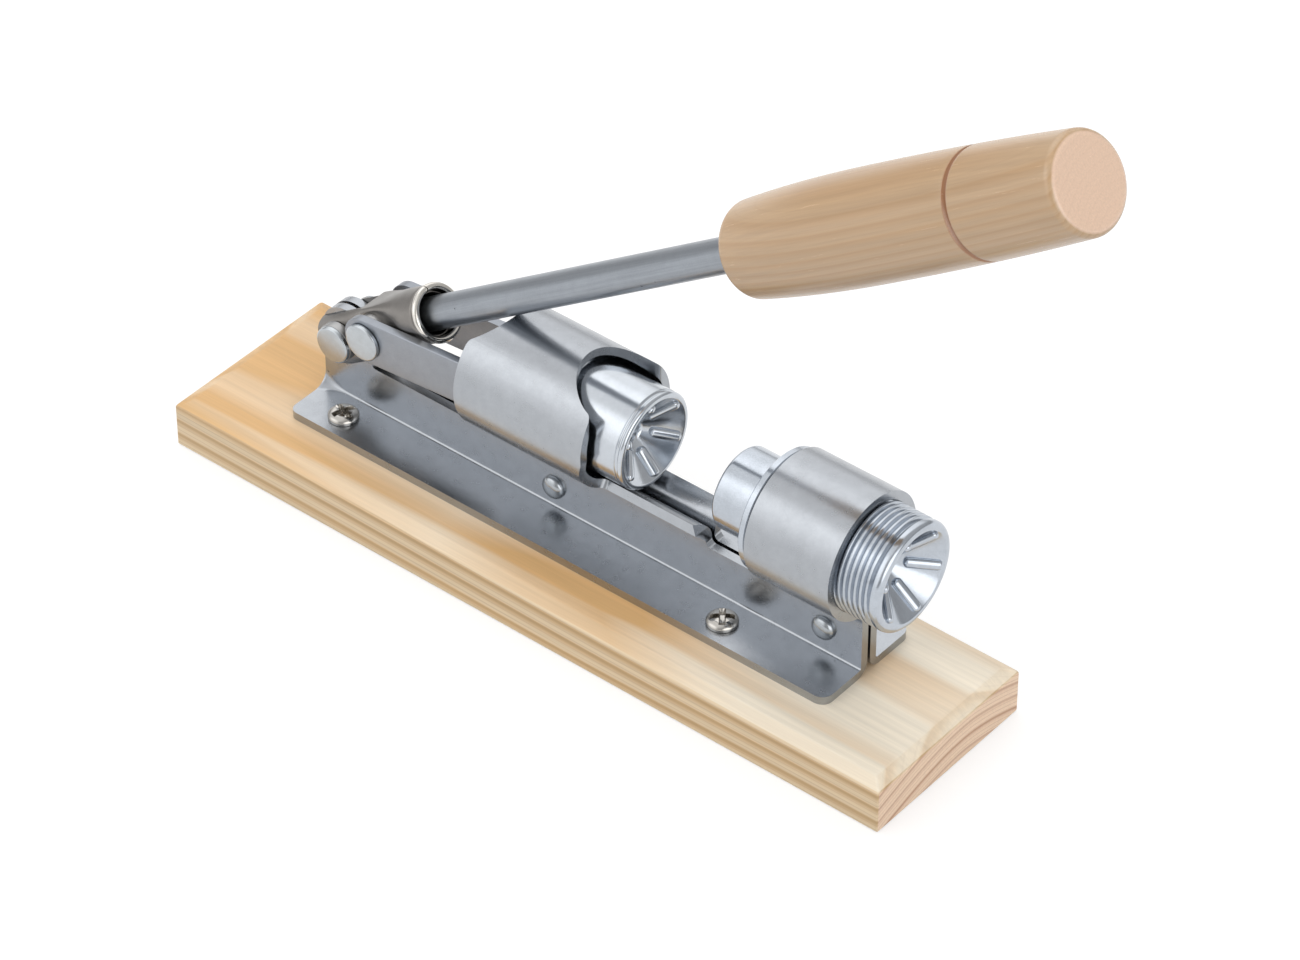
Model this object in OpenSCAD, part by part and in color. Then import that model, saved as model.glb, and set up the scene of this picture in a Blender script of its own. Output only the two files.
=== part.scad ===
// Lever nutcracker press: a pressed sheet frame on a wooden board, a ram in the frame's
// hood, an adjustable anvil screw in its front sleeve, and a hand lever with two links.
// Millimetres. Origin at the bottom centre of the board, +X towards the anvil screw, +Z up.

/* [Base board] */
// Length of the wooden board
board_l = 285; // [265:1:310]
// Width of the board
board_w = 70; // [62:1:80]
// Thickness of the board
board_t = 18; // [16:1:24]
// Width of the bevel round the board's top face
bevel_w = 4.4; // [2:0.1:6]
// Depth of that bevel down the board's sides
bevel_h = 2.1; // [1:0.1:4]

/* [Press frame] */
// Thickness of the pressed sheet
sheet_t = 3; // [2.6:0.1:3.2]
// Distance of the frame's rear edge from the board's rear end
frame_inset = 33.9; // [28:0.1:40]
// Sideways offset of the frame from the middle of the board
frame_offset = 4; // [0:0.5:6]
// Gap between the two webs, back to back
web_gap = 1.3; // [0.8:0.1:1.8]
// Height of the webs' top edge above the board
web_h = 19.2; // [17.5:0.1:20]
// Overall width of the foot
foot_w = 43; // [41:0.5:48]
// Inside radius of the bend between foot and web
foot_r = 1.8; // [0.5:0.1:2]
// Radius of the foot's front corners
foot_front_r = 4; // [2:0.1:5]
// Radius of the foot's rear corners
foot_rear_r = 3; // [2:0.1:5]
// Height of the tube's axis above the board
axis_h = 46; // [45:0.5:49]
// Outside diameter of the tube
tube_d = 43; // [42:0.1:44]
// Distance from the frame's rear edge to the hood
hood_inset = 70.85; // [69:0.05:74]
// Length of the hood
hood_l = 51.05; // [46:0.05:52]
// Length of the open trough in front of the hood
trough_l = 34.7; // [34:0.1:42]
// Angle of the trough's edges from the bottom of the tube
trough_deg = 24; // [22:0.5:30]
// Length of the low stretch that the screw's collar travels in
relief_l = 28.7; // [27:0.1:32]
// Length of the threaded front sleeve
sleeve_l = 31.7; // [28:0.1:36]
// Radius of the round cuts in the hood's two ends
scallop_r = 16.3; // [16:0.1:16.5]
// Depth of the front cut
scallop_depth = 14.4; // [10:0.1:14.4]
// Depth of the rear cut, which the lever's bar rests in
notch_depth = 7.6; // [7:0.05:7.75]
// Rounding of the lips beside the front cut
lip_r = 2.15; // [1.5:0.05:2.5]
// Rounding of the lips beside the rear cut
notch_lip_r = 2.7; // [1.5:0.05:2.9]
// Distance by which the front lips stand out beyond the hood's front edge below them
lip_reach = 2.2; // [1:0.1:3]
// Height over which the front edge slopes from the lips down to that edge
lip_slope = 7; // [4:0.5:9]
// Rounding of the inner corners along the frame's upper edges
relief_r = 2; // [1:0.1:3]
// Length of the slope at the trough's front end
trough_slope = 4.5; // [3:0.1:6]

/* [Frame fasteners] */
// Distance of the rear base screws from the frame's rear edge
rear_screw_inset = 16.1; // [12:0.1:20]
// Distance of the front base screws from the frame's front edge
front_screw_inset = 45.9; // [40:0.1:55]
// Distance across each pair of base screws
screw_spread = 26.7; // [23:0.1:30]
// Diameter of a base screw's head
screw_head_d = 10.3; // [9:0.1:11.5]
// Height of a base screw's head
screw_head_h = 2.9; // [2:0.1:3.5]
// Diameter of a base screw's shank
screw_d = 4; // [3:0.1:4.5]
// Length of a base screw's shank below its head
screw_l = 16; // [12:0.5:17]
// Diameter of the web rivets' heads
web_rivet_d = 8.3; // [7:0.1:10]
// Height of the web rivets' heads
web_rivet_h = 2.6; // [1:0.1:3]
// Diameter of the web rivets' shanks
web_rivet_shank_d = 5; // [4:0.1:6]
// Distance of the rear web rivet behind the hood's front edge
rear_rivet_inset = 25.9; // [15:0.1:30]
// Height of the rear web rivet above the board
rear_rivet_h = 10.5; // [9.5:0.1:12]
// Distance of the front web rivet from the frame's front edge
front_rivet_inset = 14.4; // [10:0.1:20]
// Height of the front web rivet above the board
front_rivet_h = 12.2; // [10:0.1:14]

/* [Lever] */
// Slope of the lever when it is down
lever_deg = 34.63; // [34.4:0.01:36]
// Radius of the ear that carries the lever
ear_r = 10; // [9:0.1:10.5]
// Height of the lever's pivot above the board
pivot_h = 27.3; // [27.2:0.1:28.4]
// Diameter of the two pivot rivets
pivot_d = 8; // [7:0.1:9]
// Diameter of the pivot rivets' heads
pivot_head_d = 13; // [12:0.1:14]
// Thickness of the pivot rivets' heads
pivot_head_t = 1.6; // [1.2:0.1:2.4]
// Distance between the lever's two pivots
crank_l = 19; // [18.5:0.1:20]
// Diameter of the spacer washers on the two pivots
washer_d = 13.4; // [12.6:0.1:13.6]
// Thickness of those washers
washer_t = 3; // [2.5:0.1:3.2]
// Thickness of the yoke's sheet
cheek_t = 2.5; // [2.2:0.1:2.8]
// Radius of the yoke's rear end, also the depth of its cheeks below the pivot
yoke_r = 10; // [9.7:0.1:10.5]
// Height of the yoke's top above the pivot
yoke_top = 8.3; // [7.8:0.1:8.6]
// Distance from the pivot at which the yoke's cheeks join
yoke_slot = 15.5; // [14.5:0.1:17]
// Distance from the pivot at which the yoke's flat sides end
yoke_flat = 26; // [26:0.1:27]
// Distance from the pivot at which the yoke becomes round
yoke_round = 35; // [34:0.1:36]
// Distance from the pivot to the end of the yoke's tube
yoke_l = 42; // [40:0.1:44]
// Outside radius of the yoke's round end
yoke_end_r = 9.3; // [9.1:0.05:9.3]
// Rounding of the yoke's folded corners
yoke_fold_r = 3.5; // [2.5:0.1:4.5]
// Diameter of the lever's round bar
bar_d = 11.1; // [10.5:0.1:11.1]
// Distance from the pivot to the bar's rear end
bar_in = 34; // [33:0.1:36]
// Outside radius of the rolled rim on the socket sleeve
rim_r = 9.75; // [9.4:0.05:9.9]
// Radius of the rolled rim's bead
bead_r = 1.2; // [0.9:0.05:1.3]
// Width of the seam along the top of the yoke and the sleeve
seam_w = 0.4; // [0.3:0.05:0.8]

/* [Handle] */
// Distance from the pivot to the handle's inner end
handle_start = 195; // [180:0.5:210]
// Length of the handle
handle_l = 139.7; // [120:0.1:150]
// Largest diameter of the handle
handle_d = 34.1; // [30:0.1:36]
// Diameter at the handle's inner end
handle_inner_d = 29.4; // [26:0.1:30]
// Diameter at the handle's outer end
handle_outer_d = 30.4; // [26:0.1:30.4]
// Rounding of the handle's inner end
handle_inner_r = 3; // [1:0.1:5]
// Rounding of the handle's outer end
handle_outer_r = 1.9; // [1:0.1:4]
// Distance of the turned groove from the handle's outer end
groove_inset = 40.6; // [30:0.1:60]
// Width of the turned groove
groove_w = 1.8; // [1:0.1:3]
// Depth of the turned groove
groove_depth = 1.3; // [0.6:0.1:2]

/* [Links and ram] */
// Distance between a link's two holes
link_l = 58; // [57:0.1:59]
// Height of a link
link_h = 16.2; // [15.6:0.1:16.6]
// Thickness of a link
link_t = 3; // [2.6:0.1:3.2]
// Depth of the ram pin below the ram's axis
pin_drop = 3; // [2:0.1:4]
// Diameter of the ram pin
ram_pin_d = 7; // [6.4:0.1:7]
// Length of the ram pin
ram_pin_l = 32; // [30:0.1:32]
// Radial play of the links' front holes on the ram pin
open_play = 2.45; // [2.3:0.05:2.5]
// Diameter of the ram's head
ram_d = 33; // [31:0.1:34]
// Distance of the ram's face in front of the hood when the lever is down
ram_reach = 11.7; // [10:0.1:14]
// Length of the ram's guide land
land_l = 10; // [8:0.1:10.5]
// Distance from the ram pin to the guide land
land_inset = 11.4; // [11.2:0.1:12]
// Radius of the ram's tail round its pin
tail_r = 8; // [7:0.1:8.4]
// Width of the polished rim at the ram's face
ram_rim_w = 1.9; // [1.9:0.1:5]
// Depth of the fine groove behind that rim
ram_groove_depth = 0.5; // [0.3:0.05:1]
// Radius of the ram's cup at its mouth
ram_cup_r = 14.6; // [13:0.1:14.6]
// Depth of the ram's cup
ram_cup_depth = 8.5; // [8:0.1:11]
// Turn of the ram's first rib from +Y
ram_rib_deg = -26; // [-30:1:30]

/* [Anvil screw] */
// Diameter over the screw's threads
thread_d = 36.8; // [36.6:0.05:36.8]
// Distance from one thread to the next
thread_pitch = 2.7; // [2.4:0.1:3.2]
// Depth of the threads
thread_depth = 1.1; // [0.6:0.1:1.4]
// Length of the screw from its collar to its outer end
screw_body_l = 48.4; // [45:0.1:52]
// Diameter of the stop collar
collar_d = 41; // [39:0.1:41]
// Thickness of the stop collar
collar_t = 2.3; // [1.8:0.1:3]
// Gap between the stop collar and the sleeve
collar_gap = 0.9; // [0.5:0.1:2]
// Diameter of the boss that meets the nut
boss_d = 27.8; // [26:0.1:29]
// Length of that boss
boss_l = 15.7; // [14:0.1:17]
// Radius of the cup in the boss
boss_cup_r = 12; // [11:0.1:12.2]
// Depth of the cup in the boss
boss_cup_depth = 7; // [6:0.1:8]
// Radius of the cup in the screw's outer end
end_cup_r = 15.6; // [14:0.1:15.6]
// Depth of the cup in the screw's outer end
end_cup_depth = 10.5; // [8:0.1:12]
// Rounding of the screw's outer rim
end_rim_r = 1.8; // [1:0.1:2.2]
// Turn of the screw's first rib from +Y
end_rib_deg = -18; // [-30:1:30]

/* [Cup ribs] */
// Number of ribs in a cup
rib_count = 6; // [4:1:8]
// Width of a rib
rib_w = 3; // [2:0.1:3.4]
// Distance of a rib's inner end from the cup's axis
rib_in_r = 6.6; // [5.9:0.1:7]
// Depth of a rib's inner end below the cup's mouth, as a share of the cup's depth
rib_drop_share = 0.52; // [0.5:0.01:0.7]
// Radius of the round hole at the bottom of a cup
cup_hole_r = 3.4; // [2.5:0.1:3.6]
// Depth of that hole below the cup
cup_hole_depth = 3; // [2:0.1:4]

/* [Fits] */
// Radial clearance of a pin in its hole
fit_gap = 0.05; // [0.03:0.01:0.08]
// Side play between layers that turn past each other
side_gap = 0.2; // [0.15:0.01:0.3]
// Clearance between the sleeve's flare and the yoke's mouth
seat_gap = 0.3; // [0.2:0.05:0.5]

/* [Hidden] */
$fn = 96;
over = 1;
slice = 0.1;
hull_fn = 32;

// The handle is fullest at this share of its length, and this power shapes its fall to the ends
belly_share = 0.4;
belly_power = 2.2;

// Stations along the frame
frame_rear_x = frame_inset - board_l / 2;
hood_rear_x = frame_rear_x + hood_inset;
hood_front_x = hood_rear_x + hood_l;
relief_x = hood_front_x + trough_l;
sleeve_x = relief_x + relief_l;
frame_front_x = sleeve_x + sleeve_l;

// The frame's section: u across from its middle plane, z up
web_in = web_gap / 2;
web_out = web_in + sheet_t;
foot_top_z = board_t + sheet_t;
web_top_z = board_t + web_h;
tube_z = board_t + axis_h;
tube_r = tube_d / 2;
tube_in_r = tube_r - sheet_t;

// The bend between web and tube. Its centre lies on a line from the tube's centre whose run,
// fall and length are whole numbers, so that both arcs end at the very same point
slant = [12, 35, 37];
neck_unit = (tube_r - web_out) / (slant[2] - slant[0]);
neck_u = slant[0] * neck_unit;
neck_z = tube_z - slant[1] * neck_unit;
neck_r = neck_u - web_out;

// The window in front of the hood
window_x = hood_front_x - lip_reach;
trough_end_z = tube_z - (tube_in_r - relief_r) * cos(trough_deg);
fillet_deg = (relief_r / (tube_in_r + sheet_t / 2)) * 180 / PI;
crown_z = tube_z + tube_r + over;

// Layers beside the lever's pivots, measured from the middle plane
cheek_in = web_out + side_gap;
cheek_out = cheek_in + cheek_t;
link_in = cheek_out + washer_t + side_gap;
link_out = link_in + link_t;
tail_u = link_in - side_gap;

// Pivots
pivot_r = pivot_d / 2;
pivot_x = frame_rear_x + ear_r;
pivot_z = board_t + pivot_h;
crank_x = pivot_x + crank_l * cos(lever_deg);
crank_z = pivot_z + crank_l * sin(lever_deg);
ram_pin_z = tube_z - pin_drop;
link_deg = asin((ram_pin_z - crank_z) / link_l);
ram_pin_x = crank_x + link_l * cos(link_deg);
ram_pin_r = ram_pin_d / 2;

// Ram
land_x = ram_pin_x + land_inset;
ram_x = hood_front_x + ram_reach;
land_r = tube_in_r - fit_gap;
ram_r = ram_d / 2;

// Lever
bar_r = bar_d / 2;
bar_out = handle_start + handle_l - groove_inset;
yoke_end_in_r = yoke_end_r - cheek_t;
sleeve_r = yoke_end_in_r - fit_gap;
sleeve_in = yoke_round + fit_gap;
grip_end = yoke_l - 4 * bead_r + seat_gap;
rim_x = yoke_l + seat_gap + bead_r;
mouth_r = rim_r - bead_r;

// Anvil screw
thread_r = thread_d / 2;
collar_x = sleeve_x - collar_gap;
boss_x = collar_x - collar_t - boss_l;
end_x = collar_x + screw_body_l;
thread_count = floor((screw_body_l - end_rim_r) / thread_pitch) - 1;

// Puts a shape that is drawn in the frame's own middle plane on the board
module on_frame() {
  translate([0, frame_offset, 0])
    children();
}

// Puts a shape that is drawn along +X from the lever's pivot at the lever's place
module on_lever() {
  translate([pivot_x, frame_offset, pivot_z])
    rotate([0, -lever_deg, 0])
      children();
}

// Extrudes a section that is drawn across and up, from x0 to x1
module along_x(x0, x1) {
  translate([x0, 0, 0])
    rotate([90, 0, 90])
      linear_extrude(x1 - x0)
        children();
}

// Extrudes a side view, drawn in x and z, from y0 to y1
module along_y(y0, y1) {
  translate([0, y1, 0])
    rotate([90, 0, 0])
      linear_extrude(y1 - y0)
        children();
}

// Turns a profile, drawn as radius and distance, about the X axis
module turned() {
  rotate([0, 90, 0])
    rotate_extrude()
      children();
}

// A stretch of a flat ring, from the direction of one far point over a second to a third
module ring_arc(r_in, r_out, p_0, p_m, p_1) {
  intersection() {
    difference() {
      circle(r_out);
      circle(r_in);
    }
    polygon([[0, 0], p_0, p_m, p_1]);
  }
}

// What is left between a square corner and its rounding, the corner at the origin
module corner_waste(r) {
  difference() {
    translate([-over, -over])
      square([r + over, r + over]);
    translate([r, r])
      circle(r);
  }
}

// Side view of a pit that is open at the top, with rounded lower corners
module pit(x0, x1, z0, r) {
  translate([x0, z0 + r])
    square([x1 - x0, crown_z - z0 - r]);
  translate([x0 + r, z0])
    square([x1 - x0 - 2 * r, r + over]);
  for (x = [x0 + r, x1 - r])
    translate([x, z0 + r])
      circle(r);
}

// Side view of the low stretch, with the trough's end sloping down into it
module collar_relief() {
  pit(relief_x, sleeve_x, web_top_z, relief_r);
  polygon([[relief_x - trough_slope, trough_end_z + over], [relief_x - trough_slope, trough_end_z],
           [relief_x - trough_slope / 2, trough_end_z - trough_slope / 3],
           [relief_x, trough_end_z - trough_slope], [relief_x + relief_r, trough_end_z - trough_slope],
           [relief_x + relief_r, trough_end_z + over]]);
}

module board_side(w) {
  polygon([[-w / 2, 0], [w / 2, 0], [w / 2, board_t - bevel_h], [w / 2 - bevel_w, board_t],
           [bevel_w - w / 2, board_t], [-w / 2, board_t - bevel_h]]);
}

module screw_places() {
  for (x = [frame_rear_x + rear_screw_inset, frame_front_x - front_screw_inset])
    for (u = [-screw_spread / 2, screw_spread / 2])
      translate([x, frame_offset + u, foot_top_z])
        children();
}

module base_board() {
  color("burlywood")
    difference() {
      intersection() {
        along_x(-board_l / 2, board_l / 2)
          board_side(board_w);
        along_y(-board_w / 2, board_w / 2)
          board_side(board_l);
      }
      screw_places()
        translate([0, 0, -screw_l - fit_gap])
          cylinder(r = screw_d / 2 + fit_gap, h = screw_l + over);
    }
}

// One half of the frame's folded section
module half_section() {
  bend_u = web_out + foot_r;
  bend_z = foot_top_z + foot_r;
  far = 4 * tube_r;
  join = 2 * [slant[0], -slant[1]];
  translate([bend_u, board_t])
    square([foot_w / 2 - bend_u, sheet_t]);
  translate([bend_u, bend_z])
    ring_arc(foot_r, foot_r + sheet_t, [-far, 0], [-far, -far], [0, -far]);
  translate([web_in, bend_z])
    square([sheet_t, neck_z - bend_z]);
  translate([neck_u, neck_z])
    ring_arc(neck_r, neck_r + sheet_t, -join, [-far, far / 2], [-far, 0]);
  translate([0, tube_z])
    ring_arc(tube_in_r, tube_r, join, [far, 0], [0, far]);
}

module frame_section() {
  half_section();
  mirror([1, 0])
    half_section();
}

// Plan of a round cut in an end of the hood: the end at x = 0, the sheet on the side of -x
module end_cut(depth, edge_r) {
  a = scallop_r - depth;
  lip_u = sqrt(pow(scallop_r + edge_r, 2) - pow(a + edge_r, 2));
  mouth_u = sqrt(pow(scallop_r, 2) - pow(a, 2));
  translate([a, 0])
    circle(scallop_r);
  for (side = [-1, 1])
    difference() {
      polygon([[over, side * mouth_u], [over, side * lip_u], [-edge_r, side * lip_u], [a, 0]]);
      translate([-edge_r, side * lip_u])
        circle(edge_r);
    }
}

// Everything of the tube's section that lies beyond an angle from its bottom
module above_trough(deg) {
  reach = 2 * tube_r;
  translate([0, tube_z])
    difference() {
      circle(tube_r + over);
      polygon([[0, 0], reach * [-sin(deg), -cos(deg)], reach * [sin(deg), -cos(deg)]]);
    }
}

// Side view of the front lips, which stand out beyond the edge below them
module lip_side() {
  polygon([[window_x - over, crown_z], [hood_front_x, crown_z], [hood_front_x, tube_z - relief_r],
           [window_x, tube_z - relief_r - lip_slope], [window_x - over, tube_z - relief_r - lip_slope]]);
}

// The opening in front of the hood, down to the trough's edges, with its inner corners rounded
module trough_window() {
  difference() {
    union() {
      along_x(window_x + relief_r, sleeve_x)
        above_trough(trough_deg);
      along_x(window_x, window_x + 2 * relief_r)
        above_trough(trough_deg + fillet_deg);
    }
    along_y(-tube_r - 2 * over, tube_r + 2 * over)
      lip_side();
  }
  for (side = [-1, 1])
    translate([window_x + relief_r, 0, tube_z])
      rotate([180 + side * (trough_deg + fillet_deg), 0, 0])
        translate([0, 0, tube_in_r - over])
          cylinder(r = relief_r, h = sheet_t + 2 * over);
}

// Side view of one web's ear, with the rounding at its front foot
module ear_side() {
  ear_front = pivot_x + ear_r;
  translate([pivot_x, pivot_z])
    circle(ear_r);
  translate([frame_rear_x, foot_top_z + foot_r])
    square([2 * ear_r, pivot_z - foot_top_z - foot_r]);
  translate([ear_front, web_top_z])
    difference() {
      translate([-over, -over])
        square([relief_r + over, relief_r + over]);
      translate([relief_r, relief_r])
        circle(relief_r);
    }
}

module foot_corners() {
  translate([0, 0, board_t - over])
    linear_extrude(sheet_t + 2 * over)
      for (side = [0, 1])
        mirror([0, side]) {
          translate([frame_rear_x, -foot_w / 2])
            corner_waste(foot_rear_r);
          translate([frame_front_x, -foot_w / 2])
            mirror([1, 0])
              corner_waste(foot_front_r);
        }
}

module web_rivet_places() {
  translate([hood_front_x - rear_rivet_inset, 0, board_t + rear_rivet_h])
    children();
  translate([frame_front_x - front_rivet_inset, 0, board_t + front_rivet_h])
    children();
}

module press_frame() {
  color("silver") {
    difference() {
      on_frame()
        difference() {
          union() {
            difference() {
              along_x(frame_rear_x, frame_front_x)
                frame_section();
              along_y(-tube_r - over, tube_r + over)
                pit(frame_rear_x - 2 * over, hood_rear_x, web_top_z, relief_r);
              along_y(-tube_r - over, tube_r + over)
                collar_relief();
              trough_window();
              translate([hood_front_x, 0, tube_z])
                linear_extrude(tube_r + over)
                  end_cut(scallop_depth, lip_r);
              translate([hood_rear_x, 0, tube_z])
                mirror([1, 0, 0])
                  linear_extrude(tube_r + over)
                    end_cut(notch_depth, notch_lip_r);
            }
            for (side = [-1, 1])
              along_y(side * (web_in + sheet_t / 2) - sheet_t / 2,
                      side * (web_in + sheet_t / 2) + sheet_t / 2)
                ear_side();
          }
          foot_corners();
          translate([pivot_x, 0, pivot_z])
            rotate([90, 0, 0])
              cylinder(r = pivot_r + fit_gap, h = 2 * (web_out + over), center = true);
          web_rivet_places()
            rotate([90, 0, 0])
              cylinder(r = web_rivet_shank_d / 2 + fit_gap, h = 2 * (web_out + over), center = true);
        }
      screw_places()
        translate([0, 0, -sheet_t - over])
          cylinder(r = screw_d / 2 + 2 * fit_gap, h = sheet_t + 2 * over);
    }
  }
}

// A pan head base screw with a crossed recess, its seat at z = 0
module base_screw() {
  dome_share = 0.72;
  recess_share = 0.58;
  dome_h = screw_head_h * dome_share;
  head_r = screw_head_d / 2;
  dome_r = (pow(head_r, 2) + pow(dome_h, 2)) / (2 * dome_h);
  recess_w = screw_head_d / 8;
  recess_l = screw_head_d * recess_share;
  recess_depth = screw_head_h / 2;
  color("lightgray")
    difference() {
      union() {
        cylinder(r = head_r, h = screw_head_h - dome_h);
        translate([0, 0, screw_head_h - dome_h])
          rotate_extrude()
            intersection() {
              translate([0, dome_h - dome_r])
                circle(dome_r, $fn = 4 * $fn);
              square([head_r, dome_h]);
            }
        translate([0, 0, -screw_l])
          cylinder(r = screw_d / 2, h = screw_l);
      }
      for (turn = [0, 90])
        rotate([0, 0, turn])
          translate([-recess_l / 2, -recess_w / 2, screw_head_h - recess_depth])
            cube([recess_l, recess_w, recess_depth + over]);
    }
}

module screw_at(x, side) {
  translate([x, frame_offset + side * screw_spread / 2, foot_top_z])
    base_screw();
}

module near_rear_screw() {
  screw_at(frame_rear_x + rear_screw_inset, -1);
}

module near_front_screw() {
  screw_at(frame_front_x - front_screw_inset, -1);
}

module far_rear_screw() {
  screw_at(frame_rear_x + rear_screw_inset, 1);
}

module far_front_screw() {
  screw_at(frame_front_x - front_screw_inset, 1);
}

// A low domed head, its seat at z = 0
module domed_head(r, h) {
  dome_r = (pow(r, 2) + pow(h, 2)) / (2 * h);
  rotate_extrude()
    intersection() {
      translate([0, h - dome_r])
        circle(dome_r, $fn = 4 * $fn);
      square([r, h]);
    }
}

// A rivet across the webs, with a domed head on each side
module web_rivet() {
  color("gainsboro")
    for (side = [0, 1])
      mirror([0, side, 0]) {
        translate([0, -web_out, 0])
          rotate([90, 0, 0])
            domed_head(web_rivet_d / 2, web_rivet_h);
        rotate([90, 0, 0])
          cylinder(r = web_rivet_shank_d / 2, h = web_out);
      }
}

module rear_web_rivet() {
  on_frame()
    translate([hood_front_x - rear_rivet_inset, 0, board_t + rear_rivet_h])
      web_rivet();
}

module front_web_rivet() {
  on_frame()
    translate([frame_front_x - front_rivet_inset, 0, board_t + front_rivet_h])
      web_rivet();
}

// Plan of the ribs in a cup, each with a round inner end
module rib_plan(r_out, turn) {
  for (k = [0 : rib_count - 1])
    rotate(turn + k * 360 / rib_count) {
      translate([rib_in_r + rib_w / 2, 0])
        circle(rib_w / 2);
      translate([rib_in_r + rib_w / 2, -rib_w / 2])
        square([r_out - rib_in_r, rib_w]);
    }
}

// The hollow of a ribbed cup, its mouth at z = 0 and its hole below
module cup_hollow(r, depth, turn) {
  rib_drop = depth * rib_drop_share;
  difference() {
    rotate_extrude()
      polygon([[0, over], [r, over], [r, 0], [cup_hole_r, -depth],
               [cup_hole_r, -depth - cup_hole_depth], [0, -depth - cup_hole_depth]]);
    intersection() {
      rotate_extrude()
        polygon([[rib_in_r, -rib_drop], [r, 0], [r + over, 0], [r + over, -depth], [rib_in_r, -depth]]);
      translate([0, 0, -depth])
        linear_extrude(depth + over)
          rib_plan(r + over, turn);
    }
  }
}

// Side view of the ram's tail: flat sided, round about its pin
module tail_side() {
  translate([ram_pin_x, ram_pin_z])
    circle(tail_r);
  translate([ram_pin_x, ram_pin_z - tail_r])
    square([land_inset + over, 2 * tail_r]);
}

module ram() {
  land_bevel = land_r - ram_r;
  groove_x = ram_x - ram_rim_w;
  rim_round = ram_r - ram_cup_r;
  color("lightsteelblue")
    on_frame()
      difference() {
        union() {
          translate([0, 0, tube_z])
            turned()
              difference() {
                union() {
                  polygon([[0, land_x], [land_r, land_x], [land_r, land_x + land_l],
                           [ram_r, land_x + land_l + land_bevel], [ram_r, ram_x - rim_round],
                           [ram_r - rim_round, ram_x], [0, ram_x]]);
                  translate([ram_r - rim_round, ram_x - rim_round])
                    circle(rim_round);
                }
                translate([ram_r, groove_x])
                  circle(ram_groove_depth);
              }
          along_y(-tail_u, tail_u)
            tail_side();
        }
        translate([ram_x, 0, tube_z])
          rotate([0, 90, 0])
            cup_hollow(ram_cup_r, ram_cup_depth, 90 + ram_rib_deg);
        translate([ram_pin_x, 0, ram_pin_z])
          rotate([90, 0, 0])
            cylinder(r = ram_pin_r + fit_gap, h = 2 * (tail_u + over), center = true);
      }
}

module ram_pin() {
  color("darkgray")
    on_frame()
      translate([ram_pin_x, 0, ram_pin_z])
        rotate([90, 0, 0])
          cylinder(r = ram_pin_r, h = ram_pin_l, center = true);
}

// One flat link with round ends, drawn in x and z from its rear hole
module link_side() {
  difference() {
    union() {
      for (x = [0, link_l])
        translate([x, 0])
          circle(link_h / 2);
      translate([0, -link_h / 2])
        square([link_l, link_h]);
    }
    circle(pivot_r + fit_gap);
    translate([link_l, 0])
      circle(ram_pin_r + open_play);
  }
}

module link(side) {
  color("silver")
    translate([crank_x, frame_offset + side * (link_in + link_t / 2), crank_z])
      rotate([0, -link_deg, 0])
        along_y(-link_t / 2, link_t / 2)
          link_side();
}

module near_link() {
  link(-1);
}

module far_link() {
  link(1);
}

// The yoke's section, across and up from the pivot, drawn in from its outside by an inset
module yoke_section(inset) {
  fold_r = yoke_fold_r - inset;
  top = yoke_top - inset;
  bottom = inset - yoke_r;
  half = cheek_out - inset;
  translate([-half, bottom + fold_r])
    square([2 * half, top - bottom - 2 * fold_r]);
  translate([fold_r - half, bottom])
    square([2 * (half - fold_r), top - bottom]);
  for (u = [fold_r - half, half - fold_r])
    for (v = [bottom + fold_r, top - fold_r])
      translate([u, v])
        circle(fold_r, $fn = hull_fn);
}

// The stretch in which the yoke's flat sides pass over into its round end
module yoke_neck(inset) {
  hull() {
    along_x(yoke_flat - slice, yoke_flat)
      yoke_section(inset);
    along_x(yoke_round - slice, yoke_round)
      circle(yoke_end_r - inset, $fn = hull_fn);
  }
}

// Side view of the yoke's flat part, round about the pivot
module yoke_side() {
  circle(yoke_r);
  translate([0, -yoke_r])
    square([yoke_flat, 2 * yoke_r]);
}

module lever_yoke() {
  seat_flare = mouth_r - seat_gap;
  color("rosybrown")
    on_lever()
      difference() {
        union() {
          difference() {
            intersection() {
              along_x(-yoke_r, yoke_flat)
                yoke_section(0);
              along_y(-cheek_out, cheek_out)
                yoke_side();
            }
            translate([-yoke_r - over, -cheek_in, -yoke_r - over])
              cube([yoke_slot + yoke_r + over, 2 * cheek_in, 2 * (yoke_r + over)]);
            along_x(yoke_slot - over, yoke_flat + over)
              yoke_section(cheek_t);
          }
          difference() {
            yoke_neck(0);
            yoke_neck(cheek_t);
          }
          turned()
            difference() {
              translate([yoke_end_in_r, yoke_round - slice])
                square([cheek_t, yoke_l - yoke_round + slice]);
              polygon([[sleeve_r + fit_gap, grip_end], [seat_flare, yoke_l],
                       [seat_flare, yoke_l + over], [0, yoke_l + over], [0, grip_end]]);
            }
        }
        translate([yoke_slot - over, -seam_w / 2, 0])
          cube([yoke_l - yoke_slot + 2 * over, seam_w, yoke_end_r + over]);
        for (x = [0, crank_l])
          translate([x, 0, 0])
            rotate([90, 0, 0])
              cylinder(r = pivot_r + fit_gap, h = 2 * (cheek_out + over), center = true);
      }
}

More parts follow.
